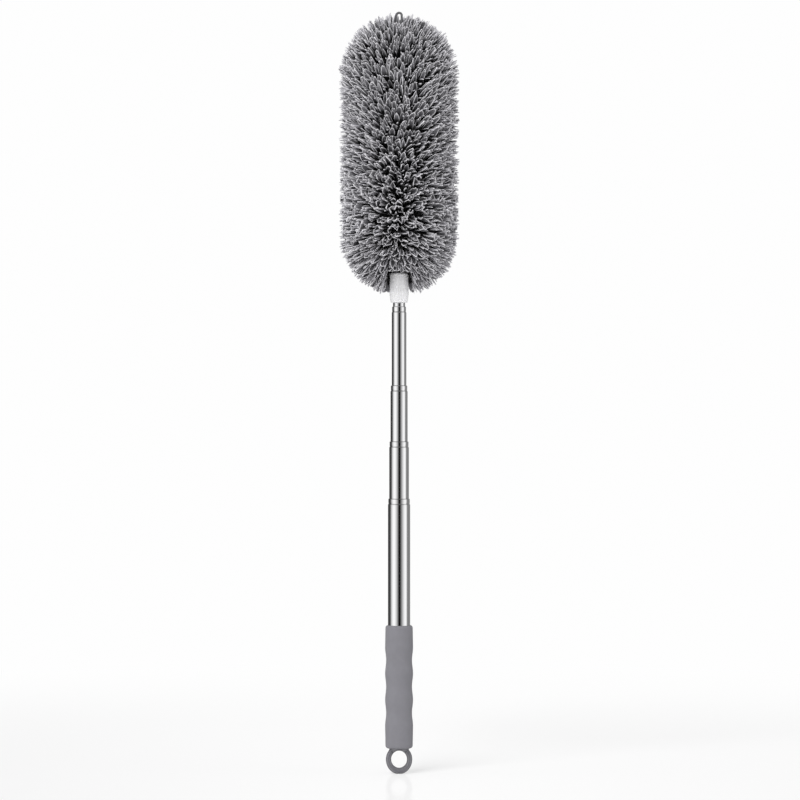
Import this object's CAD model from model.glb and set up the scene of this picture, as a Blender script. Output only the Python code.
"""Looks of an extendable microfiber duster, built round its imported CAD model.

The duster stands along +Z on the foot of its hanging ring, and its front faces -Y.
Every length is in metres.
"""

from __future__ import annotations

import logging
import math
import random
from collections.abc import Iterator, Sequence
from dataclasses import dataclass
from enum import Enum

import bmesh
import bpy
from mathutils import Matrix, Vector

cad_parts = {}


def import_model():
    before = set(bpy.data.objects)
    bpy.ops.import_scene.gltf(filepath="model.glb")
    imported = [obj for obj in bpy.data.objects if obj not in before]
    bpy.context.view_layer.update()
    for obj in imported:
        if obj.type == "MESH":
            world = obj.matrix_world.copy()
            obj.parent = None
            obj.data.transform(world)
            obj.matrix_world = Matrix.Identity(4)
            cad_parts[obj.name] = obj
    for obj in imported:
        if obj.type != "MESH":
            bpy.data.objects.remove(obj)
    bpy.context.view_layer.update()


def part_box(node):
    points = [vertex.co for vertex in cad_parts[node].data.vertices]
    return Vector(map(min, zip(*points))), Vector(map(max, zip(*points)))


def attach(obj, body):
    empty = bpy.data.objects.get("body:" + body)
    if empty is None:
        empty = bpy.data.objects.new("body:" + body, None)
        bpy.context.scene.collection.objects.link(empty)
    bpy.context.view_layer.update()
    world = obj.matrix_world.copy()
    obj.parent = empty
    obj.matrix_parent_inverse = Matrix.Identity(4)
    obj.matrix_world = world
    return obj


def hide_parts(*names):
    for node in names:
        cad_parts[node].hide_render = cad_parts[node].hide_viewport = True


MM = 0.001
ROUND_SEGMENTS = 96
RING_SEGMENTS = 72
BACKING_SEGMENTS = 48
MERGE_DISTANCE = 0.000005
UP = (0.0, 0.0, 1.0)
WHITE = (1.0, 1.0, 1.0)
BACKDROP = (0.99, 0.99, 0.99)
LOG = logging.getLogger("duster")

Triple = tuple[float, float, float]
Colour = Triple
Profile = list[tuple[float, float]]
Feeds = dict[str | int, object]
Socket = bpy.types.NodeSocket
Node = bpy.types.Node
Mesh = bpy.types.Mesh
Shape = bmesh.types.BMesh


class Body(Enum):
    """Bodies of the CAD model that pieces move with."""

    HANDLE = "handle"
    SECTION_2 = "section_2"
    SECTION_3 = "section_3"
    SECTION_4 = "section_4"
    SECTION_5 = "section_5"
    HEAD = "head"


class Slot(Enum):
    """Material slots of the record that new pieces take their finish from."""

    STEEL = "pole_steel"
    GRIP = "grip_rubber"
    RING = "ring_plastic"
    SOCKET = "socket_plastic"
    WIRE = "wire_coated"
    PILE = "microfiber"


# Node trees


class NodeBoard:
    """A node tree that grows one node at a time."""

    def __init__(self, tree: bpy.types.NodeTree) -> None:
        """Take over a tree."""
        self.tree = tree

    def feed(self, socket: Socket, value: object) -> None:
        """Link a socket to a source socket, or set it to a constant.

        Args:
            socket: The input to feed.
            value: A source socket, a number, a vector or a colour.
        """
        if isinstance(value, Socket):
            self.tree.links.new(value, socket)
        elif isinstance(value, tuple) and socket.type == "RGBA":
            socket.default_value = (*value, 1.0)
        else:
            socket.default_value = value

    def feed_all(self, node: Node, inputs: Feeds) -> None:
        """Feed several inputs of a node, each given by its name or number."""
        for name, value in inputs.items():
            self.feed(node.inputs[name], value)

    def add(self, kind: str, inputs: Feeds | None = None, **settings: object) -> Node:
        """Add a node.

        Args:
            kind: Blender's type name of the node, without its leading "ShaderNode".
            inputs: Constant or source socket of each input, by the input's name or number.
            settings: Attributes of the node.

        Returns:
            The new node.
        """
        node = self.tree.nodes.new(f"ShaderNode{kind}")
        for name, value in settings.items():
            setattr(node, name, value)
        self.feed_all(node, inputs or {})
        return node

    def place_group(self, name: str, inputs: Feeds) -> Node:
        """Add a node group by its name."""
        return self.add("Group", inputs, node_tree=bpy.data.node_groups[name])

    def math(self, operation: str, *operands: object) -> Socket:
        """Add a Math node on one, two or three operands, and give its value."""
        return self.add("Math", dict(enumerate(operands)), operation=operation).outputs[0]

    def noise(self, place: Socket, scale: object, detail: float = 3.0) -> Socket:
        """Add soft noise from 0 to 1."""
        return self.add("TexNoise", {"Vector": place, "Scale": scale, "Detail": detail}).outputs[0]

    def step(
        self, value: object, low: object, high: object, start: float = 0.0, end: float = 1.0
    ) -> Socket:
        """Add a smooth step of a value, from a start level at low to an end level at high."""
        inputs = {"Value": value, "From Min": low, "From Max": high, "To Min": start, "To Max": end}
        return self.add("MapRange", inputs, interpolation_type="SMOOTHSTEP").outputs[0]

    def blend(self, factor: object, first: object, second: object, kind: str = "MIX") -> Socket:
        """Blend two colours; the factor is the share of the second one."""
        inputs = {0: factor, 6: first, 7: second}
        return self.add("Mix", inputs, data_type="RGBA", blend_type=kind).outputs[2]

    def grey(self, level: Socket) -> Socket:
        """Turn a level into a grey."""
        return self.add("CombineColor", {0: level, 1: level, 2: level}).outputs[0]

    def scale_colour(self, colour: object, level: Socket) -> Socket:
        """Multiply a colour by a level, to make it lighter or darker."""
        return self.blend(1.0, colour, self.grey(level), "MULTIPLY")


def open_group(
    name: str, inputs: dict[str, str], outputs: dict[str, str]
) -> tuple[NodeBoard, bpy.types.NodeOutputs, bpy.types.NodeInputs]:
    """Start a shader node group.

    Args:
        name: Name of the group.
        inputs: Kind of each input socket, by its name.
        outputs: Kind of each output socket, by its name.

    Returns:
        A board on the group's tree, the sockets that bring its inputs and those that take its outputs.
    """
    tree = bpy.data.node_groups.new(name, "ShaderNodeTree")
    for direction, sockets in (("INPUT", inputs), ("OUTPUT", outputs)):
        for title, kind in sockets.items():
            tree.interface.new_socket(name=title, in_out=direction, socket_type=f"NodeSocket{kind}")
    source = tree.nodes.new("NodeGroupInput").outputs
    target = tree.nodes.new("NodeGroupOutput").inputs
    return NodeBoard(tree), source, target


class SharedEffects:
    """Node groups that several finishes use, each built once."""

    MOTTLE = "soft_mottle"
    GRAIN = "fine_grain"

    @classmethod
    def build(cls) -> None:
        """Build every group."""
        cls._build_mottle()
        cls._build_grain()

    @classmethod
    def _build_mottle(cls) -> None:
        """Cloudy change of a colour's lightness, as a moulding has."""
        inputs = {"Colour": "Color", "Position": "Vector", "Scale": "Float", "Amount": "Float"}
        board, source, target = open_group(cls.MOTTLE, inputs, {"Colour": "Color"})
        cloud = board.noise(source["Position"], source["Scale"])
        offset = board.math("SUBTRACT", cloud, 0.5)
        level = board.math("MULTIPLY_ADD", offset, source["Amount"], 1.0)
        board.feed(target["Colour"], board.scale_colour(source["Colour"], level))

    @classmethod
    def _build_grain(cls) -> None:
        """Fine grain of a moulded, foamed or drawn surface, with the roughness that goes with it."""
        inputs = {"Position": "Vector", "Scale": "Float", "Roughness": "Float", "Spread": "Float"}
        board, source, target = open_group(cls.GRAIN, inputs, {"Height": "Float", "Roughness": "Float"})
        height = board.noise(source["Position"], source["Scale"], 4.0)
        offset = board.math("SUBTRACT", height, 0.5)
        roughness = board.math("MULTIPLY_ADD", offset, source["Spread"], source["Roughness"])
        board.feed(target["Height"], height)
        board.feed(target["Roughness"], roughness)


# Finishes


@dataclass(frozen=True)
class Surface:
    """A finish that becomes a material."""

    name: str

    def material(self) -> bpy.types.Material:
        """The finish as a material, built the first time that it is asked for."""
        return bpy.data.materials.get(self.name) or self._build()

    def _build(self) -> bpy.types.Material:
        """Build the material.

        Returns:
            The material.
        """
        material = bpy.data.materials.new(self.name)
        material.use_nodes = True
        board = NodeBoard(material.node_tree)
        self._wire_up(board, board.tree.nodes["Principled BSDF"])
        return material

    def _wire_up(self, board: NodeBoard, shader: Node) -> None:
        """Build the finish's own nodes on the material's board, round its Principled shader."""
        raise NotImplementedError


@dataclass(frozen=True)
class Finish(Surface):
    """A surface with a slightly cloudy colour and a fine grain."""

    colour: Colour
    roughness: float
    metallic: float = 0.0
    specular: float = 0.5
    cloud_scale: float = 60.0
    cloud_amount: float = 0.1
    grain_scale: float = 2200.0
    grain_spread: float = 0.1
    grain_height: float = 0.02 * MM
    stretch: Triple = (1.0, 1.0, 1.0)
    subsurface: float = 0.0
    subsurface_radius: Triple = (4.0, 4.0, 4.2)
    sheen: float = 0.0

    def _wire_up(self, board: NodeBoard, shader: Node) -> None:
        """Build clouds and grain.

        Args:
            board: The material's board.
            shader: Its Principled shader.
        """
        object_place = board.add("TexCoord").outputs["Object"]
        place = board.add("Mapping", {"Vector": object_place, "Scale": self.stretch}).outputs[0]
        mottle = board.place_group(SharedEffects.MOTTLE, {
            "Colour": self.colour, "Position": place,
            "Scale": self.cloud_scale, "Amount": self.cloud_amount,
        })
        grain = board.place_group(SharedEffects.GRAIN, {
            "Position": place, "Scale": self.grain_scale,
            "Roughness": self.roughness, "Spread": self.grain_spread,
        })
        bump = board.add("Bump", {"Height": grain.outputs["Height"], "Distance": self.grain_height})
        board.feed_all(shader, {
            "Base Color": mottle.outputs["Colour"],
            "Roughness": grain.outputs["Roughness"],
            "Normal": bump.outputs[0],
            "Metallic": self.metallic,
            "Specular IOR Level": self.specular,
            "Subsurface Weight": self.subsurface,
            "Subsurface Radius": self.subsurface_radius,
            "Subsurface Scale": MM,
            "Sheen Weight": self.sheen,
        })


POLISHED_STEEL = Finish(
    name="polished_stainless",
    colour=(0.82, 0.82, 0.825), roughness=0.11, metallic=1.0, cloud_scale=25.0, cloud_amount=0.05,
    grain_scale=900.0, grain_spread=0.08, grain_height=0.002 * MM, stretch=(1.0, 1.0, 0.04),
)
SOFT_GRIP = Finish(
    name="soft_grey_foam_rubber",
    colour=(0.207, 0.204, 0.223), roughness=0.82, specular=0.3, cloud_scale=110.0, cloud_amount=0.16,
    grain_scale=1700.0, grain_spread=0.2, grain_height=0.06 * MM, sheen=0.08,
)
RING_PLASTIC = Finish(
    name="dark_grey_moulded_plastic", colour=(0.145, 0.143, 0.158), roughness=0.2, specular=0.9
)
SOCKET_PLASTIC = Finish(
    name="milky_white_plastic",
    colour=(0.95, 0.945, 0.965), roughness=0.28, cloud_amount=0.05,
    grain_scale=1500.0, grain_height=0.008 * MM, subsurface=0.25,
)
COATED_WIRE = Finish(
    name="dark_coated_wire",
    colour=(0.13, 0.13, 0.137), roughness=0.38, cloud_amount=0.15,
    grain_scale=3000.0, grain_height=0.01 * MM,
)
NATURAL_NYLON = Finish(
    name="natural_nylon",
    colour=(0.62, 0.6, 0.54), roughness=0.5,
    grain_scale=1800.0, grain_height=0.015 * MM, subsurface=0.1,
)
SPRING_BRONZE = Finish(
    name="spring_bronze",
    colour=(0.62, 0.4, 0.2), roughness=0.32, metallic=1.0, cloud_amount=0.2,
    grain_scale=1200.0, grain_height=0.004 * MM, stretch=(1.0, 1.0, 0.1),
)
BLACK_NYLON = Finish(
    name="black_nylon",
    colour=(0.025, 0.025, 0.027), roughness=0.45, cloud_amount=0.2, grain_scale=1800.0,
)


@dataclass(frozen=True)
class MicrofiberFinish(Surface):
    """Napped strand fabric: dark at the roots, grey on its faces, light along cut edges and tips."""

    name: str = "grey_microfiber_pile"
    root_colour: Colour = (0.008, 0.008, 0.009)
    face_colour: Colour = (0.137, 0.135, 0.146)
    rim_colour: Colour = (0.82, 0.81, 0.84)
    roughness: float = 0.85
    specular: float = 0.2
    fade: float = 0.1
    end_from: float = 0.86
    end_paleness: float = 0.14
    rim_from: float = 0.68
    rim_full: float = 0.85
    tip_from: float = 0.972
    tip_paleness: float = 0.8
    nap_scale: Triple = (5.0, 6.0, 1.0)
    nap_shift: float = 90.0
    nap_height: float = 0.2 * MM
    nap_shade: float = 0.4
    sheen: float = 0.15
    sheen_roughness: float = 0.4

    def _wire_up(self, board: NodeBoard, shader: Node) -> None:
        """Build the nap, whose fibres run along each strand and differ by its tone, and the colours.

        Args:
            board: The material's board.
            shader: Its Principled shader.
        """
        place = board.add("UVMap", uv_map=StrandPattern.UV_NAME).outputs[0]
        tone = board.add("Attribute", attribute_name=MicrofiberHead.TONE_NAME).outputs["Fac"]
        shift = board.add("CombineXYZ", {2: board.math("MULTIPLY", tone, self.nap_shift)}).outputs[0]
        stretched = {0: place, 1: self.nap_scale, 2: shift}
        fibres = board.add("VectorMath", stretched, operation="MULTIPLY_ADD").outputs[0]
        nap = board.noise(fibres, 1.0)
        shade = board.math("MULTIPLY_ADD", nap, self.nap_shade, 1.0 - self.nap_shade / 2)
        bump = board.add("Bump", {"Height": nap, "Distance": self.nap_height})
        board.feed_all(shader, {
            "Base Color": board.scale_colour(self._colour(board, place, tone), shade),
            "Normal": bump.outputs[0],
            "Roughness": self.roughness,
            "Specular IOR Level": self.specular,
            "Sheen Weight": self.sheen,
            "Sheen Roughness": self.sheen_roughness,
        })

    def _colour(self, board: NodeBoard, place: Socket, tone: Socket) -> Socket:
        """Colour from root to tip and from the middle to the edges.

        Args:
            board: The material's board.
            place: Place across and along the strand.
            tone: Brightness of the strand's faces; its edges are never lighter than the rim colour.

        Returns:
            The colour.
        """
        across, along, _ = board.add("SeparateXYZ", {0: place}).outputs
        shaded = board.add("Attribute", attribute_name=MicrofiberHead.SHADED_NAME).outputs["Fac"]
        from_middle = board.math("ABSOLUTE", board.math("MULTIPLY_ADD", across, 2.0, -1.0))
        edge = board.step(from_middle, self.rim_from, self.rim_full)
        tip = board.step(along, self.tip_from, 1.0, 0.0, self.tip_paleness)
        out = board.step(along, shaded, board.math("ADD", shaded, self.fade))
        rim = board.math("MULTIPLY", board.math("MAXIMUM", edge, tip), out)
        end = board.step(along, self.end_from, 1.0, 0.0, self.end_paleness)
        face = board.scale_colour(board.blend(out, self.root_colour, self.face_colour), tone)
        edges = board.scale_colour(self.rim_colour, board.math("MINIMUM", tone, 1.0))
        return board.blend(board.math("MAXIMUM", rim, end), face, edges)


# Modelling helpers


def turn_profile(points: Profile, segments: int = ROUND_SEGMENTS) -> Shape:
    """Sweep a closed half section round the Z axis.

    Args:
        points: Radius and height of each corner.
        segments: Number of faces round the axis.

    Returns:
        The closed, outward-facing shape.
    """
    builder = bmesh.new()
    corners = [builder.verts.new((radius, 0.0, height)) for radius, height in points]
    edges = [builder.edges.new((corners[index - 1], corner)) for index, corner in enumerate(corners)]
    outline = corners + edges
    bmesh.ops.spin(builder, geom=outline, axis=UP, angle=math.tau, steps=segments, use_merge=True)
    bmesh.ops.remove_doubles(builder, verts=builder.verts, dist=MERGE_DISTANCE)
    bmesh.ops.recalc_face_normals(builder, faces=builder.faces)
    if builder.calc_volume(signed=True) < 0.0:
        bmesh.ops.reverse_faces(builder, faces=builder.faces)
    return builder


def corner_arc(
    centre: tuple[float, float], size: float, start: float, end: float, steps: int = 6
) -> Profile:
    """Points of a quarter or other part of a circle in a half section.

    Args:
        centre: Radius and height of the arc's centre.
        size: The arc's own radius.
        start: Direction of its first point, in degrees from outwards.
        end: Direction of its last point.
        steps: Number of straight pieces.

    Returns:
        The points.
    """
    points = []
    for step in range(steps + 1):
        angle = math.radians(start + (end - start) * step / steps)
        points.append((centre[0] + size * math.cos(angle), centre[1] + size * math.sin(angle)))
    return points


def top_corner(radius: float, top: float, size: float, steps: int = 6) -> Profile:
    """Rounded upper outer corner of a half section, top to bottom."""
    return corner_arc((radius - size, top - size), size, 90.0, 0.0, steps)


def round_edges(
    builder: Shape, size: float, segments: int = 3, sharper_than: float = 20.0
) -> None:
    """Bevel the edges where a shape turns sharply.

    Args:
        builder: The shape.
        size: Width of the bevel.
        segments: Number of faces across it.
        sharper_than: Least angle between the faces of an edge that is bevelled, in degrees.
    """
    limit = math.radians(sharper_than)
    edges = [edge for edge in builder.edges if edge.is_manifold and edge.calc_face_angle() > limit]
    bmesh.ops.bevel(
        builder, geom=edges, offset=size, offset_type="OFFSET", affect="EDGES",
        segments=segments, profile=0.5, material=-1, clamp_overlap=True,
    )


def to_mesh(builder: Shape, name: str, smooth_below: float = 40.0) -> Mesh:
    """Turn a finished shape into a mesh with smooth shading on its rounded parts.

    Args:
        builder: The shape, which is freed.
        name: Name of the mesh.
        smooth_below: Greatest angle between faces that are shaded as one, in degrees.

    Returns:
        The mesh.
    """
    mesh = bpy.data.meshes.new(name)
    builder.to_mesh(mesh)
    builder.free()
    mesh.shade_smooth()
    mesh.set_sharp_from_angle(angle=math.radians(smooth_below))
    return mesh


def link_object(name: str, data: bpy.types.ID) -> bpy.types.Object:
    """Add an object to the scene.

    Args:
        name: Name of the object.
        data: Its mesh, curve, light or camera.

    Returns:
        The object.
    """
    thing = bpy.data.objects.new(name, data)
    bpy.context.scene.collection.objects.link(thing)
    return thing


def evaluated_shape(thing: bpy.types.Object) -> Shape:
    """Shape of a helper object with its modifiers applied; the object itself is removed.

    Args:
        thing: The helper object.

    Returns:
        The shape.
    """
    bpy.context.view_layer.update()
    graph = bpy.context.evaluated_depsgraph_get()
    mesh = bpy.data.meshes.new_from_object(thing.evaluated_get(graph))
    builder = bmesh.new()
    builder.from_mesh(mesh)
    bpy.data.meshes.remove(mesh)
    bpy.data.objects.remove(thing, do_unlink=True)
    return builder


@dataclass(frozen=True)
class Place:
    """Where a piece belongs: the body it rides on, the slot it is painted from and its CAD node."""

    body: Body
    slot: Slot
    node: str


def fit_piece(mesh: Mesh, finish: Surface, place: Place) -> None:
    """Dress the model with a new piece.

    Args:
        mesh: The piece's shape, in place.
        finish: Its surface.
        place: Where it belongs.
    """
    mesh.materials.append(finish.material())
    piece = link_object(mesh.name, mesh)
    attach(piece, place.body.value)
    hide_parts(place.node)
    LOG.info("%s: %d faces on %s for %s", piece.name, len(mesh.polygons), place.body.value, place.node)


def paint_node(name: str, finish: Finish) -> None:
    """Give a CAD node that stays its finish.

    Args:
        name: Name of the node.
        finish: Its surface.
    """
    node = bpy.data.objects[name]
    node.data.materials.clear()
    node.data.materials.append(finish.material())
    LOG.info("%s keeps its CAD shape, painted %s", name, finish.name)


# Handle


@dataclass(frozen=True)
class HangRing:
    """Ring for a hook, moulded in one with a flared neck and the plug in the handle tube."""

    width: float = 26.2 * MM
    hole_width: float = 15.6 * MM
    hole_height: float = 16.8 * MM
    foot_wall: float = 5.9 * MM
    foot_cut: float = 0.5 * MM
    neck_diameter: float = 19.4 * MM
    neck_bottom: float = 20.5 * MM
    neck_flare: float = 3.0 * MM
    plug_bottom: float = 27.6 * MM
    plug_length: float = 15.0 * MM
    plug_diameter: float = 20.8 * MM
    plug_wall: float = 2.0 * MM
    plug_floor: float = 2.5 * MM
    plug_chamfer: float = 0.8 * MM
    tunnel_margin: float = 1.0 * MM
    section_segments: int = 24
    grain_size: float = 0.33 * MM
    softening: int = 3

    def build(self) -> None:
        """Model the moulding and put it in place of its CAD node."""
        shape = self._neck_and_plug()
        shape.from_mesh(self._loop())
        fit_piece(self._mould(shape), RING_PLASTIC, Place(Body.HANDLE, Slot.RING, "hang_ring"))

    def _loop(self) -> Mesh:
        """Round-sectioned loop, thicker at its foot.

        Returns:
            The loop.
        """
        side = (self.width - self.hole_width) / 4
        builder = bmesh.new()
        place = Matrix.Translation((self.hole_width / 2 + side, 0.0, 0.0))
        bmesh.ops.create_circle(builder, segments=self.section_segments, radius=side, matrix=place)
        bmesh.ops.spin(
            builder, geom=builder.verts[:] + builder.edges[:], axis=(0.0, 1.0, 0.0),
            angle=math.tau, steps=RING_SEGMENTS, use_merge=True,
        )
        for vertex in builder.verts:
            self._swell(vertex, side)
        bmesh.ops.recalc_face_normals(builder, faces=builder.faces)
        return to_mesh(builder, "ring_loop")

    def _swell(self, vertex: bmesh.types.BMVert, side: float) -> None:
        """Move a point of an even loop to the real one: a taller hole and a thicker foot.

        Args:
            vertex: The point, on a loop round the origin.
            side: Radius of the section at the sides.
        """
        foot = (self.foot_wall + self.foot_cut) / 2
        angle = math.atan2(vertex.co.z, vertex.co.x)
        section = side + (foot - side) * max(0.0, -math.sin(angle)) ** 2
        outward = math.hypot(vertex.co.x, vertex.co.z) - self.hole_width / 2 - side
        factor = section / side
        reach_across = self.hole_width / 2 + section + outward * factor
        reach_up = self.hole_height / 2 + section + outward * factor
        vertex.co.x = reach_across * math.cos(angle)
        vertex.co.y *= factor
        vertex.co.z = self.foot_wall + self.hole_height / 2 + reach_up * math.sin(angle)

    def _neck_and_plug(self) -> Shape:
        """Turned neck, opened below for the ring's hole, and the plug above it.

        Returns:
            The shape of both.
        """
        start = self.plug_bottom
        top = start + self.plug_length
        plug = self.plug_diameter / 2
        neck = self.neck_diameter / 2
        turned = turn_profile([
            (plug - self.plug_wall, top), (plug - self.plug_chamfer, top),
            (plug, top - self.plug_chamfer), (plug, start + self.plug_chamfer),
            (neck, start), (neck, self.neck_bottom + self.neck_flare),
            (neck - self.neck_flare, self.neck_bottom), (0.0, self.neck_bottom),
            (0.0, start + self.plug_floor), (plug - self.plug_wall, start + self.plug_floor),
        ])
        neck_piece = link_object("neck", to_mesh(turned, "neck"))
        cutter = self._tunnel()
        opening = neck_piece.modifiers.new("tunnel", "BOOLEAN")
        opening.solver = "EXACT"
        opening.operation = "DIFFERENCE"
        opening.object = cutter
        shape = evaluated_shape(neck_piece)
        bpy.data.objects.remove(cutter, do_unlink=True)
        return shape

    def _tunnel(self) -> bpy.types.Object:
        """Oval bar that keeps the neck out of the ring's hole.

        Returns:
            The bar.
        """
        builder = bmesh.new()
        bmesh.ops.create_cone(
            builder, cap_ends=True, segments=RING_SEGMENTS, radius1=1.0, radius2=1.0, depth=2.0
        )
        middle = Matrix.Translation((0.0, 0.0, self.foot_wall + self.hole_height / 2))
        half_width = self.hole_width / 2 + self.tunnel_margin
        half_height = self.hole_height / 2 + self.tunnel_margin
        size = Matrix.Diagonal((half_width, self.width, half_height, 1.0))
        turn = Matrix.Rotation(math.pi / 2, 4, "X")
        bmesh.ops.transform(builder, matrix=middle @ size @ turn, verts=builder.verts)
        return link_object("tunnel", to_mesh(builder, "tunnel"))

    def _mould(self, shape: Shape) -> Mesh:
        """Melt the shapes into one skin and cut the foot flat.

        Args:
            shape: The overlapping shapes.

        Returns:
            The finished mesh.
        """
        thing = link_object("ring_skin", to_mesh(shape, "ring_skin"))
        melt = thing.modifiers.new("melt", "REMESH")
        melt.mode = "VOXEL"
        melt.voxel_size = self.grain_size
        soften = thing.modifiers.new("soften", "SMOOTH")
        soften.iterations = self.softening
        builder = evaluated_shape(thing)
        everything = builder.verts[:] + builder.edges[:] + builder.faces[:]
        bmesh.ops.bisect_plane(
            builder, geom=everything, dist=MERGE_DISTANCE,
            plane_co=(0.0, 0.0, 0.0), plane_no=UP, clear_inner=True,
        )
        rim = [edge for edge in builder.edges if edge.is_boundary]
        bmesh.ops.holes_fill(builder, edges=rim)
        return to_mesh(builder, "hang_ring_moulding")


@dataclass(frozen=True)
class GripSleeve:
    """Soft sleeve with finger waves."""

    bottom: float = 25.3 * MM
    length: float = 121.7 * MM
    peak_diameter: float = 27.7 * MM
    valley_diameter: float = 25.6 * MM
    end_diameter: float = 27.0 * MM
    first_peak: float = 21.8 * MM
    wave_pitch: float = 26.1 * MM
    waves: int = 3
    points_per_wave: int = 22
    corner_radius: float = 2.6 * MM
    lip_thickness: float = 2.0 * MM
    lip_bore: float = 20.0 * MM
    bore: float = 22.6 * MM

    def build(self) -> None:
        """Turn the sleeve and put it in place of its CAD node."""
        mesh = to_mesh(turn_profile(self._profile()), "finger_grip")
        fit_piece(mesh, SOFT_GRIP, Place(Body.HANDLE, Slot.GRIP, "grip_sleeve"))

    def _profile(self) -> Profile:
        """Rounded end, waves and rounded end, top to bottom, then the bore with its lip.

        Returns:
            The points.
        """
        radius = self.end_diameter / 2
        top = self.bottom + self.length
        lip_top = self.bottom + self.lip_thickness
        upper = top_corner(radius, top, self.corner_radius)
        centre = (radius - self.corner_radius, self.bottom + self.corner_radius)
        lower = corner_arc(centre, self.corner_radius, 0.0, -90.0)
        return upper + self._waves() + lower + [
            (self.lip_bore / 2, self.bottom),
            (self.lip_bore / 2, lip_top),
            (self.bore / 2, lip_top),
            (self.bore / 2, top),
        ]

    def _waves(self) -> Profile:
        """Finger waves, top to bottom.

        Returns:
            The points.
        """
        middle = (self.peak_diameter + self.valley_diameter) / 4
        swing = (self.peak_diameter - self.valley_diameter) / 4
        top_peak = self.bottom + self.first_peak + self.waves * self.wave_pitch
        points = []
        for step in range(self.waves * self.points_per_wave + 1):
            share = step / self.points_per_wave
            radius = middle + swing * math.cos(math.tau * share)
            points.append((radius, top_peak - self.wave_pitch * share))
        return points


# Pole


@dataclass(frozen=True)
class PoleTube:
    """One polished tube of the telescopic pole."""

    number: int
    body: Body
    node: str
    tube_count: int = 5
    first_diameter: float = 22.0 * MM
    diameter_step: float = 2.5 * MM
    wall: float = 0.4 * MM
    last_lip_radius: float = 0.1 * MM
    neck_height: float = 5.7 * MM
    neck_inset: float = 0.4 * MM
    lip_radius: float = 0.7 * MM
    groove_height: float = 1.4 * MM
    groove_above_shoulder: float = 0.35 * MM
    groove_depth: float = 0.15 * MM
    shoulder_radius: float = 0.35 * MM
    bead_height: float = 1.2 * MM
    bead_depth: float = 0.45 * MM
    bead_from_bottom: float = 20.6 * MM
    roll_steps: int = 8

    @property
    def radius(self) -> float:
        """Outer radius."""
        return (self.first_diameter - (self.number - 1) * self.diameter_step) / 2

    def build(self) -> None:
        """Turn the tube and put it in place of its CAD node."""
        low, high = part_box(self.node)
        outside = self._upper_end(high.z) + self._retaining_bead(low.z) + [(self.radius, low.z)]
        inside = [(self.radius - self.wall, low.z)] + self._upper_bore(high.z)
        mesh = to_mesh(turn_profile(outside + inside), f"steel_tube_{self.number}", smooth_below=50.0)
        fit_piece(mesh, POLISHED_STEEL, Place(self.body, Slot.STEEL, self.node))

    def _upper_end(self, top: float) -> Profile:
        """Outer side of the rolled-in end, top to bottom: lip, neck, groove and shoulder.

        Args:
            top: Height of the tube's upper end.

        Returns:
            The points.
        """
        if self.number == self.tube_count:
            return top_corner(self.radius, top, self.last_lip_radius, steps=3)
        neck = self.radius - self.neck_inset
        shoulder = top - self.neck_height
        lip = top_corner(neck, top, self.lip_radius, steps=4)
        groove_bottom = shoulder + self.groove_above_shoulder
        groove = self._roll(neck, groove_bottom, self.groove_height, -self.groove_depth)
        centre = (self.radius - self.shoulder_radius, shoulder - self.shoulder_radius)
        return lip + groove + corner_arc(centre, self.shoulder_radius, 80.0, 0.0, steps=5)

    def _upper_bore(self, top: float) -> Profile:
        """Inner side of the rolled-in end, bottom to top.

        Args:
            top: Height of the tube's upper end.

        Returns:
            The points.
        """
        if self.number == self.tube_count:
            return [(self.radius - self.wall, top)]
        bore = self.radius - self.neck_inset - self.wall
        shoulder = top - self.neck_height
        return [
            (self.radius - self.wall, shoulder - self.wall),
            (bore - self.groove_depth, shoulder + self.groove_height / 2),
            (bore, shoulder + self.groove_height),
            (bore, top - self.wall),
        ]

    def _retaining_bead(self, bottom: float) -> Profile:
        """Rolled bead that keeps the friction sleeve on a sliding tube, top to bottom.

        Args:
            bottom: Height of the tube's lower end.

        Returns:
            The points.
        """
        if self.number == 1:
            return []
        start = bottom + self.bead_from_bottom
        return self._roll(self.radius, start, self.bead_height, self.bead_depth)

    def _roll(self, radius: float, bottom: float, height: float, rise: float) -> Profile:
        """Rounded bead or groove rolled into a tube, top to bottom.

        Args:
            radius: Radius of the tube there.
            bottom: Height of its lower end.
            height: Length along the tube.
            rise: How far it stands out in the middle; negative for a groove.

        Returns:
            The points.
        """
        points = []
        for step in range(self.roll_steps + 1):
            share = step / self.roll_steps
            swell = rise * math.sin(math.pi * share) ** 2
            points.append((radius + swell, bottom + height * (1.0 - share)))
        return points


@dataclass(frozen=True)
class Pole:
    """The five tubes, with the bushes, sleeves and plug that the CAD already shapes."""

    sliding: tuple[Body, ...] = (Body.SECTION_2, Body.SECTION_3, Body.SECTION_4, Body.SECTION_5)

    def build(self) -> None:
        """Turn the tubes and paint the pieces inside them."""
        PoleTube(1, Body.HANDLE, "handle_tube").build()
        for number, body in enumerate(self.sliding, start=2):
            PoleTube(number, body, f"pole_tube_{number}").build()
            paint_node(f"end_bush_{number}", NATURAL_NYLON)
            paint_node(f"friction_sleeve_{number}", SPRING_BRONZE)
        paint_node("tip_plug", BLACK_NYLON)


# Head


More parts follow.
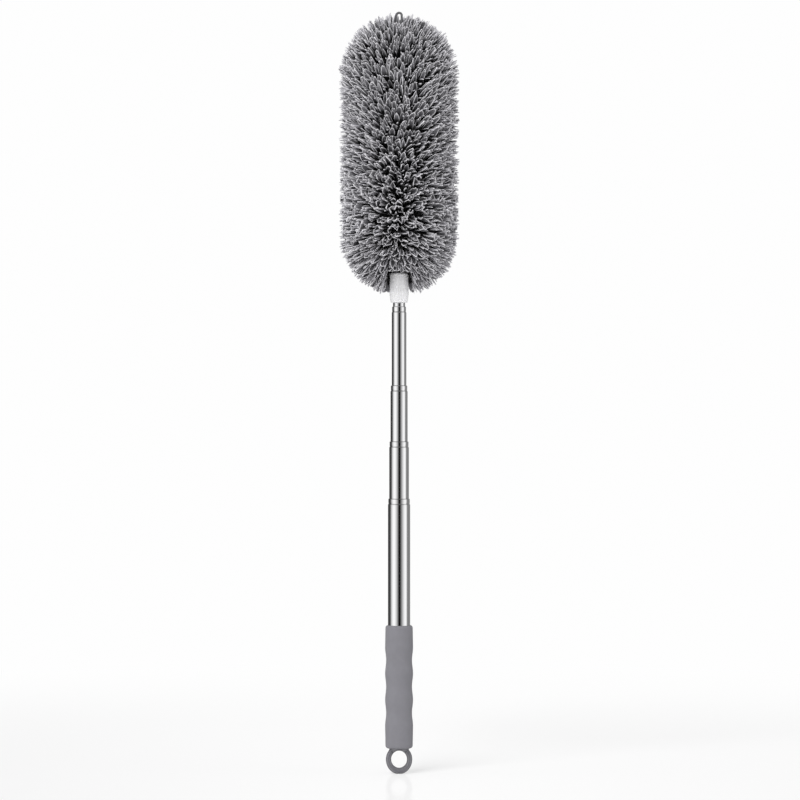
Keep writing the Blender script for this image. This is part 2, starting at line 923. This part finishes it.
@dataclass(frozen=True)
class HeadSocket:
    """White socket that carries the head on the last tube."""

    diameter: float = 18.8 * MM
    corner_radius: float = 1.8 * MM
    rim_height: float = 3.4 * MM
    rim_groove: float = 0.2 * MM
    skirt_diameter: float = 19.0 * MM
    skirt_height: float = 11.0 * MM
    skirt_taper: float = 8.6 * MM
    step: float = 1.5 * MM
    foot_diameter: float = 16.4 * MM
    tube_bore: float = 12.6 * MM
    tube_bore_depth: float = 9.0 * MM
    stud_bore: float = 9.6 * MM
    web_bottom: float = 17.1 * MM
    wire_hole: float = 5.8 * MM
    edge_radius: float = 0.25 * MM

    def build(self) -> None:
        """Turn the socket and put it in place of its CAD node."""
        low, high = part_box("head_socket")
        builder = turn_profile(self._profile(low.z, high.z))
        round_edges(builder, self.edge_radius)
        mesh = to_mesh(builder, "white_socket", smooth_below=50.0)
        fit_piece(mesh, SOCKET_PLASTIC, Place(Body.HEAD, Slot.SOCKET, "head_socket"))

    def _profile(self, bottom: float, top: float) -> Profile:
        """Outer side, top to bottom, then the bores for the tube, the stud and the wire.

        Args:
            bottom: Height of the socket's foot.
            top: Height of its rim.

        Returns:
            The points.
        """
        barrel = self.diameter / 2
        rim = top - self.rim_height
        tube_end = bottom + self.tube_bore_depth
        web = bottom + self.web_bottom
        return top_corner(barrel, top, self.corner_radius, steps=8) + [
            (barrel, rim + self.rim_groove),
            (barrel - self.rim_groove, rim),
            (barrel - self.rim_groove, bottom + self.skirt_height + self.step),
            (self.skirt_diameter / 2, bottom + self.skirt_height),
            (self.skirt_diameter / 2, bottom + self.skirt_taper),
            (self.foot_diameter / 2, bottom),
            (self.tube_bore / 2, bottom),
            (self.tube_bore / 2, tube_end),
            (self.stud_bore / 2, tube_end),
            (self.stud_bore / 2, web),
            (self.wire_hole / 2, web),
            (self.wire_hole / 2, top),
        ]


@dataclass(frozen=True)
class CoreWire:
    """Coated wire: a hairpin eye over two strands that are twisted together down to the socket."""

    diameter: float = 2.3 * MM
    roundness: int = 4
    end_inset: float = 0.2 * MM
    twist_pitch: float = 48.0 * MM
    twist_points: int = 28
    half_gap: float = 0.3 * MM
    eye_width: float = 7.5 * MM
    eye_leg: float = 9.0 * MM
    eye_taper: float = 8.0 * MM
    eye_points: int = 17

    def build(self) -> None:
        """Bend the wire and put it in place of its CAD node."""
        low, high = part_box("core_wire")
        half = (self.eye_width - self.diameter) / 2
        eye_centre = high.z - self.diameter / 2 - half
        twist_top = eye_centre - self.eye_leg - self.eye_taper
        bottom = low.z + self.end_inset
        route = self._strand(bottom, twist_top, 1)
        route += self._eye(half, twist_top + self.eye_taper, eye_centre)
        route += self._strand(bottom, twist_top, -1)[::-1]
        fit_piece(self._draw(route), COATED_WIRE, Place(Body.HEAD, Slot.WIRE, "core_wire"))

    def _strand(self, bottom: float, top: float, side: int) -> list[Vector]:
        """Route of one twisted strand, bottom to top.

        Args:
            bottom: Height of its lower end.
            top: Height where the twist ends.
            side: 1 for the strand that ends at +X, -1 for the other.

        Returns:
            Points on its centreline.
        """
        count = math.ceil((top - bottom) / self.twist_pitch * self.twist_points)
        reach = (self.diameter / 2 + self.half_gap) * side
        points = []
        for step in range(count + 1):
            height = bottom + (top - bottom) * step / count
            angle = math.tau * (top - height) / self.twist_pitch
            points.append(Vector((math.cos(angle) * reach, math.sin(angle) * reach, height)))
        return points

    def _eye(self, half: float, leg_bottom: float, centre: float) -> list[Vector]:
        """Route of the hairpin from its right leg to its left one.

        Args:
            half: Radius of the bend.
            leg_bottom: Height where the straight legs begin.
            centre: Height of the bend's centre.

        Returns:
            Points on its centreline.
        """
        points = [Vector((half, 0.0, leg_bottom))]
        for step in range(self.eye_points):
            angle = math.pi * step / (self.eye_points - 1)
            points.append(Vector((half * math.cos(angle), 0.0, centre + half * math.sin(angle))))
        return points + [Vector((-half, 0.0, leg_bottom))]

    def _draw(self, route: list[Vector]) -> Mesh:
        """Draw a round wire along a route.

        Args:
            route: Points on its centreline.

        Returns:
            The wire's mesh.
        """
        curve = bpy.data.curves.new("wire_route", "CURVE")
        curve.dimensions = "3D"
        curve.bevel_depth = self.diameter / 2
        curve.bevel_resolution = self.roundness
        curve.use_fill_caps = True
        spline = curve.splines.new("POLY")
        spline.points.add(len(route) - 1)
        for point, place in zip(spline.points, route):
            point.co = (*place, 1.0)
        builder = evaluated_shape(link_object("wire_route", curve))
        bmesh.ops.remove_doubles(builder, verts=builder.verts, dist=MERGE_DISTANCE)
        bmesh.ops.recalc_face_normals(builder, faces=builder.faces)
        return to_mesh(builder, "twisted_wire")


@dataclass(frozen=True)
class HeadOutline:
    """Capsule that the strand tips end on, and the backing that their roots are sewn to."""

    diameter: float = 120.0 * MM
    bottom: float = 471.9 * MM
    length: float = 281.0 * MM
    bottom_opening: float = math.radians(18.0)
    top_opening: float = math.radians(5.0)
    root_bottom: float = 506.1 * MM
    root_length: float = 197.0 * MM
    upward_lean: float = 1.15

    @property
    def radius(self) -> float:
        """Radius of the capsule."""
        return self.diameter / 2

    @property
    def arc_length(self) -> float:
        """Length of the outline from the opening at the socket to the one at the eye."""
        caps = math.pi - self.bottom_opening - self.top_opening
        return self.radius * caps + self.length - self.diameter

    def tip(self, along: float) -> tuple[float, float]:
        """Place on the outline.

        Args:
            along: Distance along it from the socket's end.

        Returns:
            Radius and height.
        """
        radius = self.radius
        straight = self.length - self.diameter
        bottom_arc = radius * (math.pi / 2 - self.bottom_opening)
        if along < bottom_arc:
            angle = self.bottom_opening + along / radius
            return radius * math.sin(angle), self.bottom + radius - radius * math.cos(angle)
        along -= bottom_arc
        if along < straight:
            return radius, self.bottom + radius + along
        angle = (along - straight) / radius
        return radius * math.cos(angle), self.bottom + radius + straight + radius * math.sin(angle)

    def fanned_root(self, share: float) -> float:
        """Height of a root: strands stand level below the middle and fan out towards both ends."""
        return self.root_bottom + min(max(share, 0.0), 1.0) ** self.upward_lean * self.root_length

    def square_root(self, tip_height: float) -> float:
        """Height of the root of a strand that stands square to the outline."""
        return min(max(tip_height, self.bottom + self.radius), self.bottom + self.length - self.radius)


@dataclass(frozen=True)
class StrandPattern:
    """Cut shape of a strand: a stem that widens to a cupped leaf with a rounded point.

    It is modelled along +Z from 0 to 1 and one unit wide, and scaled where it is sewn on. Its
    thickness, cup, curl and sway are shares of that width.
    """

    UV_NAME = "strand"
    LEAST_ACROSS = 0.001

    stem_width: float
    belly_at: float
    tip_width: float
    cup: float
    curl: float
    sway: float
    bend_power: int = 5
    cuts: int = 6
    sides: int = 8
    widen_from: float = 0.64
    crowding: float = 2.0
    edge_flatness: float = 0.45
    thickness: float = 0.11
    root_swell: float = 1.1
    thinning: float = 0.4
    point: float = 2.1

    def mesh(self) -> Mesh:
        """Model the strand.

        Returns:
            The mesh, with its place across and along the strand as a UV map.
        """
        builder = bmesh.new()
        bmesh.ops.create_cone(
            builder, cap_ends=True, segments=self.sides, radius1=1.0, radius2=1.0, depth=1.0
        )
        upright = [edge for edge in builder.edges if abs(edge.verts[0].co.z - edge.verts[1].co.z) > 0.5]
        bmesh.ops.subdivide_edges(builder, edges=upright, cuts=self.cuts, use_grid_fill=True)
        layer = builder.loops.layers.uv.new(self.UV_NAME)
        places = {vertex: self._shape(vertex) for vertex in builder.verts}
        for face in builder.faces:
            for loop in face.loops:
                across, along = places[loop.vert]
                loop[layer].uv = ((across + 1.0) / 2, along)
        mesh = bpy.data.meshes.new("strand")
        builder.to_mesh(mesh)
        builder.free()
        mesh.shade_smooth()
        return mesh

    def _shape(self, vertex: bmesh.types.BMVert) -> tuple[float, float]:
        """Move a point of the plain prism to the strand's surface.

        Args:
            vertex: The point.

        Returns:
            Its place across the strand, from -1 to 1, and along it, from 0 to 1.
        """
        along = 1.0 - (0.5 - vertex.co.z) ** self.crowding
        reach = max(abs(vertex.co.x), self.LEAST_ACROSS) ** self.edge_flatness
        across = math.copysign(reach, vertex.co.x)
        width = self._width(along)
        bend = along ** self.bend_power
        hollow = self.cup * (1.0 - across * across) * width
        skin = vertex.co.y * self.thickness * (self.root_swell - self.thinning * along)
        vertex.co = (across * width / 2 + self.sway * bend, skin + hollow + self.curl * bend, along)
        return across, along

    def _width(self, along: float) -> float:
        """Width of the strand.

        Args:
            along: Place along it, from 0 to 1.

        Returns:
            The width, 1 at its widest.
        """
        if along < self.belly_at:
            share = max(0.0, along - self.widen_from) / (self.belly_at - self.widen_from)
            return self.stem_width + (1.0 - self.stem_width) * share * share * (3.0 - 2.0 * share)
        share = (along - self.belly_at) / (1.0 - self.belly_at)
        return self.tip_width + (1.0 - self.tip_width) * (1.0 - share ** self.point)


@dataclass(frozen=True)
class Ribbon(StrandPattern):
    """Thinner strand that stays wide to its end, which folds."""

    thickness: float = 0.08


@dataclass(frozen=True)
class Fibre(StrandPattern):
    """Thin bristle with few faces."""

    cuts: int = 3
    sides: int = 4
    thickness: float = 0.5


@dataclass(frozen=True)
class Strand:
    """One strand of the pile, sewn on at its root."""

    root: Vector
    tip: Vector
    roll: float
    width: float
    tone: float
    shaded: float
    pattern: StrandPattern

    def matrix(self) -> Matrix:
        """Place and size of the strand, from the pattern's unit length along +Z.

        Returns:
            The matrix.
        """
        line = self.tip - self.root
        along = line.normalized()
        across = Vector((-self.tip.y, self.tip.x, 0.0)).normalized()
        across = (across - along * across.dot(along)).normalized()
        across.rotate(Matrix.Rotation(self.roll, 3, along))
        columns = (across * self.width, along.cross(across) * self.width, line)
        turned = Matrix(columns).transposed().to_4x4()
        return Matrix.Translation(self.root) @ turned


@dataclass(frozen=True)
class PileLayer:
    """Strands of the same kinds that end at about the same depth under the outline.

    The level patterns are for strands that stand level. A square layer stands square to the
    outline; the others fan out from their backing.
    """

    patterns: tuple[StrandPattern, ...]
    level_patterns: tuple[StrandPattern, ...]
    depth: float
    depth_spread: float
    row_pitch: float
    column_pitch: float
    width: float
    tone: float
    extra_shade: float = 0.0
    stray_share: float = 1.0
    square: bool = False


LEAVES = (
    StrandPattern(stem_width=0.30, belly_at=0.86, tip_width=0.20, cup=0.32, curl=0.35, sway=0.2),
    StrandPattern(stem_width=0.26, belly_at=0.87, tip_width=0.34, cup=0.48, curl=-0.4, sway=-0.35),
    StrandPattern(stem_width=0.36, belly_at=0.82, tip_width=0.08, cup=0.22, curl=0.5, sway=-0.15),
    StrandPattern(stem_width=0.28, belly_at=0.88, tip_width=0.44, cup=0.40, curl=0.0, sway=0.45),
    StrandPattern(stem_width=0.32, belly_at=0.84, tip_width=0.12, cup=0.16, curl=-0.45, sway=0.2),
    StrandPattern(stem_width=0.26, belly_at=0.86, tip_width=0.28, cup=0.58, curl=0.2, sway=-0.5),
)
FOLDS = (
    Ribbon(stem_width=0.40, belly_at=0.98, tip_width=0.90, cup=0.75, curl=0.3, sway=0.2),
    Ribbon(stem_width=0.35, belly_at=0.97, tip_width=0.80, cup=0.50, curl=-0.4, sway=0.4),
    Ribbon(stem_width=0.45, belly_at=0.98, tip_width=0.95, cup=1.00, curl=0.1, sway=-0.3),
    StrandPattern(stem_width=0.30, belly_at=0.86, tip_width=0.28, cup=0.40, curl=0.2, sway=-0.5),
)
FIBRES = (
    Fibre(stem_width=1.0, belly_at=0.8, tip_width=0.25, cup=0.2, curl=0.9, sway=0.6),
    Fibre(stem_width=1.0, belly_at=0.85, tip_width=0.4, cup=0.0, curl=-0.7, sway=-0.9),
)
OUTER_LAYER = PileLayer(
    patterns=LEAVES, level_patterns=FOLDS, depth=1.4 * MM, depth_spread=6.6 * MM,
    row_pitch=5.9 * MM, column_pitch=6.1 * MM, width=5.7 * MM, tone=1.0,
)
INNER_LAYER = PileLayer(
    patterns=LEAVES, level_patterns=LEAVES, depth=14.0 * MM, depth_spread=9.0 * MM,
    row_pitch=10.0 * MM, column_pitch=10.5 * MM, width=5.0 * MM, tone=0.4,
)
FRINGE_LAYER = PileLayer(
    patterns=FIBRES, level_patterns=FIBRES, depth=0.0, depth_spread=2.5 * MM,
    row_pitch=6.2 * MM, column_pitch=6.0 * MM, width=1.6 * MM, tone=2.4,
    extra_shade=0.02, stray_share=0.3, square=True,
)


@dataclass(frozen=True)
class Window:
    """Edge on the front that strands end at, so that the socket or the eye shows."""

    edge: float
    half_width: float
    raggedness: float

    def trim(self, root: Vector, tip: Vector, chance: float) -> Vector:
        """Shorten a strand that would hang in front of the window.

        Args:
            root: The strand's root, on the pile's side of the window's edge.
            tip: Its tip.
            chance: A number from 0 to 1 that says how far short of the edge it ends.

        Returns:
            The tip after the cut.
        """
        share = (self.edge - root.z) / (tip.z - root.z) if tip.z != root.z else math.inf
        crossing = root.lerp(tip, share) if 0.0 < share < 1.0 else None
        if crossing is None or crossing.y > 0.0 or abs(crossing.x) > self.half_width:
            return tip
        return crossing - (crossing - root).normalized() * self.raggedness * chance


@dataclass(frozen=True)
class OpenZone:
    """Part of the head where light reaches further down between the strands, or less far."""

    middle: float
    reach: float
    depth: float

    def gain(self, share: float) -> float:
        """How much further down strands are light at a share of the head's length."""
        return self.depth * max(0.0, 1.0 - abs(share - self.middle) / self.reach)


@dataclass(frozen=True)
class PileGrowth:
    """Where the strands stand, how long they are and which way their faces turn."""

    outline: HeadOutline = HeadOutline()
    layers: tuple[PileLayer, ...] = (OUTER_LAYER, INNER_LAYER, FRINGE_LAYER)
    backing_radius: float = 6.6 * MM
    least_columns: int = 14
    row_turn: float = 2.39996
    jitter: float = 0.4
    stray: float = 2.0 * MM
    level_roll: float = math.radians(48.0)
    fanned_roll: float = math.radians(22.0)
    fanned_above: float = 0.4
    width_spread: float = 0.16
    tone_spread: float = 0.18
    least_tone: float = 0.65
    most_tone: float = 1.4
    shaded: float = 0.7
    shaded_rise: float = 0.12
    open_zones: tuple[OpenZone, ...] = (
        OpenZone(middle=0.1, reach=0.09, depth=0.2),
        OpenZone(middle=0.8, reach=0.09, depth=-0.05),
        OpenZone(middle=1.0, reach=0.05, depth=0.4),
    )
    windows: tuple[Window, ...] = (
        Window(edge=497.8 * MM, half_width=11.0 * MM, raggedness=2.5 * MM),
        Window(edge=742.0 * MM, half_width=8.0 * MM, raggedness=3.0 * MM),
    )
    seed: int = 23

    def strands(self) -> Iterator[Strand]:
        """Grow the pile.

        Yields:
            Every strand.
        """
        dice = random.Random(self.seed)
        length = self.outline.arc_length
        for layer in self.layers:
            rows = round(length / layer.row_pitch)
            for row in range(rows):
                radius, _ = self.outline.tip((row + 0.5) / rows * length)
                columns = max(self.least_columns, round(math.tau * radius / layer.column_pitch))
                for column in range(columns):
                    share = (row + 0.5 + dice.uniform(-self.jitter, self.jitter)) / rows
                    turn = column + dice.uniform(-self.jitter, self.jitter)
                    azimuth = row * self.row_turn + math.tau * turn / columns
                    yield self._strand(layer, share, azimuth, dice)

    def _strand(self, layer: PileLayer, share: float, azimuth: float, dice: random.Random) -> Strand:
        """Grow one strand.

        Args:
            layer: The layer that it belongs to.
            share: Its place along the head, from 0 at the socket to 1 at the eye.
            azimuth: Its direction from the axis.
            dice: Source of chance.

        Returns:
            The strand.
        """
        root, tip = self._ends(layer, share, azimuth, dice)
        along = (tip - root).normalized()
        tip -= along * (layer.depth + dice.random() * layer.depth_spread)
        for window in self.windows:
            tip = window.trim(root, tip, dice.random())
        fanned = min(1.0, abs(along.z) / self.fanned_above)
        roll = dice.gauss(0.0, self.level_roll + (self.fanned_roll - self.level_roll) * fanned)
        if along.z < 0.0:
            roll += math.pi
        width = layer.width * dice.gauss(1.0, self.width_spread)
        chance = dice.gauss(1.0, self.tone_spread)
        tone = layer.tone * min(self.most_tone, max(self.least_tone, chance))
        kinds = layer.patterns if dice.random() < fanned else layer.level_patterns
        shaded = self._shaded(share) + layer.extra_shade
        return Strand(root, tip, roll, width, tone, shaded, dice.choice(kinds))

    def _ends(
        self, layer: PileLayer, share: float, azimuth: float, dice: random.Random
    ) -> tuple[Vector, Vector]:
        """Ends of a strand that reaches the outline.

        Args:
            layer: The layer that it belongs to.
            share: Its place along the head.
            azimuth: Its direction from the axis.
            dice: Source of chance.

        Returns:
            Its root and its tip.
        """
        radius, height = self.outline.tip(share * self.outline.arc_length)
        side = Vector((math.cos(azimuth), math.sin(azimuth), 0.0))
        level = self.outline.square_root(height) if layer.square else self.outline.fanned_root(share)
        root = side * self.backing_radius + Vector((0.0, 0.0, level))
        spread = self.stray * layer.stray_share
        stray = Vector((dice.gauss(0.0, spread), dice.gauss(0.0, spread), dice.gauss(0.0, spread)))
        return root, side * radius + Vector((0.0, 0.0, height)) + stray - side * stray.dot(side)

    def _shaded(self, share: float) -> float:
        """Place along a strand where its shade ends, for a strand at a share of the head."""
        gain = sum(zone.gain(share) for zone in self.open_zones)
        return self.shaded + self.shaded_rise * share - gain


@dataclass(frozen=True)
class MicrofiberHead:
    """The pile, in one piece for each slice of its backing."""

    TONE_NAME = "strand_tone"
    SHADED_NAME = "strand_shaded"

    finish: MicrofiberFinish = MicrofiberFinish()
    growth: PileGrowth = PileGrowth()
    slices: int = 8
    backing_radius: float = 7.0 * MM
    backing_hole: float = 2.9 * MM
    slice_gap: float = 0.3 * MM

    def build(self) -> None:
        """Grow the pile and put each slice in place of its CAD node."""
        kinds = {kind for layer in self.growth.layers for kind in layer.patterns + layer.level_patterns}
        patterns = {kind: kind.mesh() for kind in kinds}
        crops: list[list[Strand]] = [[] for _ in range(self.slices)]
        outline = self.growth.outline
        for strand in self.growth.strands():
            place = (strand.root.z - outline.root_bottom) / outline.root_length
            crops[min(self.slices - 1, int(place * self.slices))].append(strand)
        for index, crop in enumerate(crops):
            mesh = self._slice_mesh(index, crop, patterns)
            fit_piece(mesh, self.finish, Place(Body.HEAD, Slot.PILE, f"pile_slice_{index + 1}"))
        for mesh in patterns.values():
            bpy.data.meshes.remove(mesh)

    def _slice_mesh(
        self, index: int, crop: Sequence[Strand], patterns: dict[StrandPattern, Mesh]
    ) -> Mesh:
        """Sew the strands of one slice to its ring of backing.

        Args:
            index: Number of the slice, from the socket.
            crop: Its strands.
            patterns: The mesh of each cut shape.

        Returns:
            The slice.
        """
        builder = self._backing(index)
        tones = [1.0] * len(builder.verts)
        shaded = [1.0] * len(builder.verts)
        for strand in crop:
            cut = patterns[strand.pattern].copy()
            cut.transform(strand.matrix())
            builder.from_mesh(cut)
            tones += [strand.tone] * len(cut.vertices)
            shaded += [strand.shaded] * len(cut.vertices)
            bpy.data.meshes.remove(cut)
        mesh = bpy.data.meshes.new(f"microfiber_slice_{index + 1}")
        builder.to_mesh(mesh)
        builder.free()
        mesh.shade_smooth()
        for name, values in ((self.TONE_NAME, tones), (self.SHADED_NAME, shaded)):
            mesh.attributes.new(name, "FLOAT", "POINT").data.foreach_set("value", values)
        return mesh

    def _backing(self, index: int) -> Shape:
        """Ring of backing round the wire.

        Args:
            index: Number of the slice.

        Returns:
            The ring.
        """
        pitch = self.growth.outline.root_length / self.slices
        bottom = self.growth.outline.root_bottom + index * pitch
        top = bottom + pitch - self.slice_gap
        inner = [(self.backing_hole, bottom), (self.backing_hole, top)]
        outer = [(self.backing_radius, top), (self.backing_radius, bottom)]
        builder = turn_profile(inner + outer, BACKING_SEGMENTS)
        builder.loops.layers.uv.new(StrandPattern.UV_NAME)
        return builder


# Studio

# Brightness of the light tent by azimuth in degrees, as polished metal sees it
TENT_BANDS: dict[float, float] = {
    -180.0: 1.0, -168.0: 0.06, -104.0: 0.06, -80.0: 0.84, -62.0: 1.17, -46.0: 1.16,
    -25.0: 0.62, -8.0: 0.13, -3.0: 0.0, 7.0: 0.0, 15.0: 0.07, 31.0: 0.42,
    51.0: 0.92, 66.0: 1.17, 80.0: 1.04, 96.0: 0.24, 160.0: 0.27, 180.0: 1.0,
}


@dataclass(frozen=True)
class FloorFinish(Surface):
    """White floor that keeps the shadow, mirrors the ring faintly and fades into the backdrop."""

    name: str = "white_floor"
    whiteness: float = 0.42
    fades_from: float = 0.45
    faded_at: float = 1.3
    mirror: float = 0.16
    mirror_roughness: float = 0.1

    def _wire_up(self, board: NodeBoard, shader: Node) -> None:
        """Build the floor's own shaders, which take the place of the Principled one.

        Args:
            board: The material's board.
            shader: Its Principled shader, which is removed.
        """
        board.tree.nodes.remove(shader)
        matt = board.add("BsdfDiffuse", {"Color": WHITE})
        mirror = board.add("BsdfGlossy", {"Color": WHITE, "Roughness": self.mirror_roughness})
        mixed = board.add("MixShader", {0: self.mirror, 1: matt.outputs[0], 2: mirror.outputs[0]})
        white = board.add("Emission", {"Color": BACKDROP})
        place = board.add("TexCoord").outputs["Object"]
        distance = board.add("VectorMath", {0: place}, operation="LENGTH").outputs["Value"]
        fade = board.step(distance, self.fades_from, self.faded_at, self.whiteness)
        seen = board.math("MULTIPLY", fade, board.add("LightPath").outputs["Is Camera Ray"])
        shown = board.add("MixShader", {0: seen, 1: mixed.outputs[0], 2: white.outputs[0]})
        board.feed(board.tree.nodes["Material Output"].inputs["Surface"], shown.outputs[0])


@dataclass(frozen=True)
class Lamp:
    """Broad, distant lamp that the metal doesn't mirror."""

    name: str
    azimuth: float
    elevation: float
    strength: float
    spread: float

    def build(self) -> None:
        """Hang the lamp; its azimuth counts from the front, and is negative on the left."""
        light = bpy.data.lights.new(self.name, "SUN")
        light.energy = self.strength
        light.angle = math.radians(self.spread)
        lamp = link_object(self.name, light)
        lamp.rotation_euler = (math.radians(90.0 - self.elevation), 0.0, math.radians(self.azimuth))
        lamp.visible_glossy = False


@dataclass(frozen=True)
class LightTent:
    """The world: white to the camera, banded to polished metal, almost even to all else."""

    light: float = 0.48
    lean: Triple = (-0.05, 0.0, 0.1)
    ceiling_light: float = 0.12
    ceiling_from: float = 0.25
    ceiling_full: float = 0.6

    def build(self) -> None:
        """Set up the world."""
        world = bpy.data.worlds.new("light_tent")
        world.use_nodes = True
        world.cycles.sampling_method = "NONE"
        bpy.context.scene.world = world
        board = NodeBoard(world.node_tree)
        path = board.add("LightPath").outputs
        direction = board.add("TexCoord").outputs["Generated"]
        lean = board.add("VectorMath", {0: direction, 1: self.lean}, operation="DOT_PRODUCT")
        level = board.math("MULTIPLY_ADD", lean.outputs["Value"], self.light, self.light)
        colour = board.blend(path["Is Glossy Ray"], board.grey(level), self._bands(board, direction))
        seen = board.math("MAXIMUM", path["Is Camera Ray"], path["Is Transmission Ray"])
        background = board.tree.nodes["Background"]
        board.feed(background.inputs["Color"], board.blend(seen, colour, BACKDROP))

    def _bands(self, board: NodeBoard, direction: Socket) -> Socket:
        """Bands of the light tent by azimuth, under a ceiling.

        Args:
            board: The world's board.
            direction: The direction looked in.

        Returns:
            The colour that a polished surface mirrors.
        """
        right, back, up = board.add("SeparateXYZ", {0: direction}).outputs
        azimuth = board.math("ARCTAN2", right, board.math("MULTIPLY", back, -1.0))
        share = board.math("MULTIPLY_ADD", azimuth, 1.0 / math.tau, 0.5)
        bands = board.add("ValToRGB", {0: share})
        stops = bands.color_ramp.elements
        for degrees in list(TENT_BANDS)[1:-1]:
            stops.new(degrees / 360.0 + 0.5)
        for stop, level in zip(stops, TENT_BANDS.values()):
            stop.color = (level, level, level, 1.0)
        ceiling = board.step(up, self.ceiling_from, self.ceiling_full)
        return board.blend(ceiling, bands.outputs[0], (self.ceiling_light,) * 3)


@dataclass(frozen=True)
class Studio:
    """White floor, light tent, four soft lamps and the camera."""

    tent: LightTent = LightTent()
    floor: FloorFinish = FloorFinish()
    floor_size: float = 40.0
    camera_distance: float = 3.2
    camera_height: float = 0.3699
    camera_side: float = 0.9 * MM
    camera_range: float = 100.0
    view_width: float = 0.792
    sensor_width: float = 36.0
    lamps: tuple[Lamp, ...] = (
        Lamp("key_lamp", azimuth=-29.0, elevation=48.0, strength=1.5, spread=30.0),
        Lamp("front_lamp", azimuth=-10.0, elevation=3.0, strength=1.05, spread=50.0),
        Lamp("left_lamp", azimuth=-80.0, elevation=8.0, strength=0.56, spread=50.0),
        Lamp("right_lamp", azimuth=76.0, elevation=12.0, strength=0.5, spread=40.0),
    )

    def build(self) -> None:
        """Set up everything round the duster."""
        bpy.context.scene.view_settings.view_transform = "Standard"
        self.tent.build()
        self._build_floor()
        self._build_camera()
        for lamp in self.lamps:
            lamp.build()

    def _build_floor(self) -> None:
        """Lay the floor, which no surface mirrors."""
        builder = bmesh.new()
        bmesh.ops.create_grid(builder, x_segments=1, y_segments=1, size=self.floor_size / 2)
        floor = link_object("floor", to_mesh(builder, "floor"))
        floor.visible_glossy = False
        floor.data.materials.append(self.floor.material())

    def _build_camera(self) -> None:
        """Level camera with a long lens, far in front of the duster."""
        lens = bpy.data.cameras.new("camera")
        lens.sensor_width = self.sensor_width
        lens.lens = self.sensor_width * self.camera_distance / self.view_width
        lens.clip_end = self.camera_range
        camera = link_object("camera", lens)
        camera.location = (self.camera_side, -self.camera_distance, self.camera_height)
        camera.rotation_euler = (math.pi / 2, 0.0, 0.0)
        bpy.context.scene.camera = camera


def main() -> None:
    """Dress the duster and set up the studio."""
    logging.basicConfig(level=logging.INFO, format="%(name)s: %(message)s")
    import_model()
    SharedEffects.build()
    for assembly in (HangRing(), GripSleeve(), Pole(), HeadSocket(), CoreWire(), MicrofiberHead()):
        assembly.build()
    Studio().build()


if __name__ == "__main__":
    main()
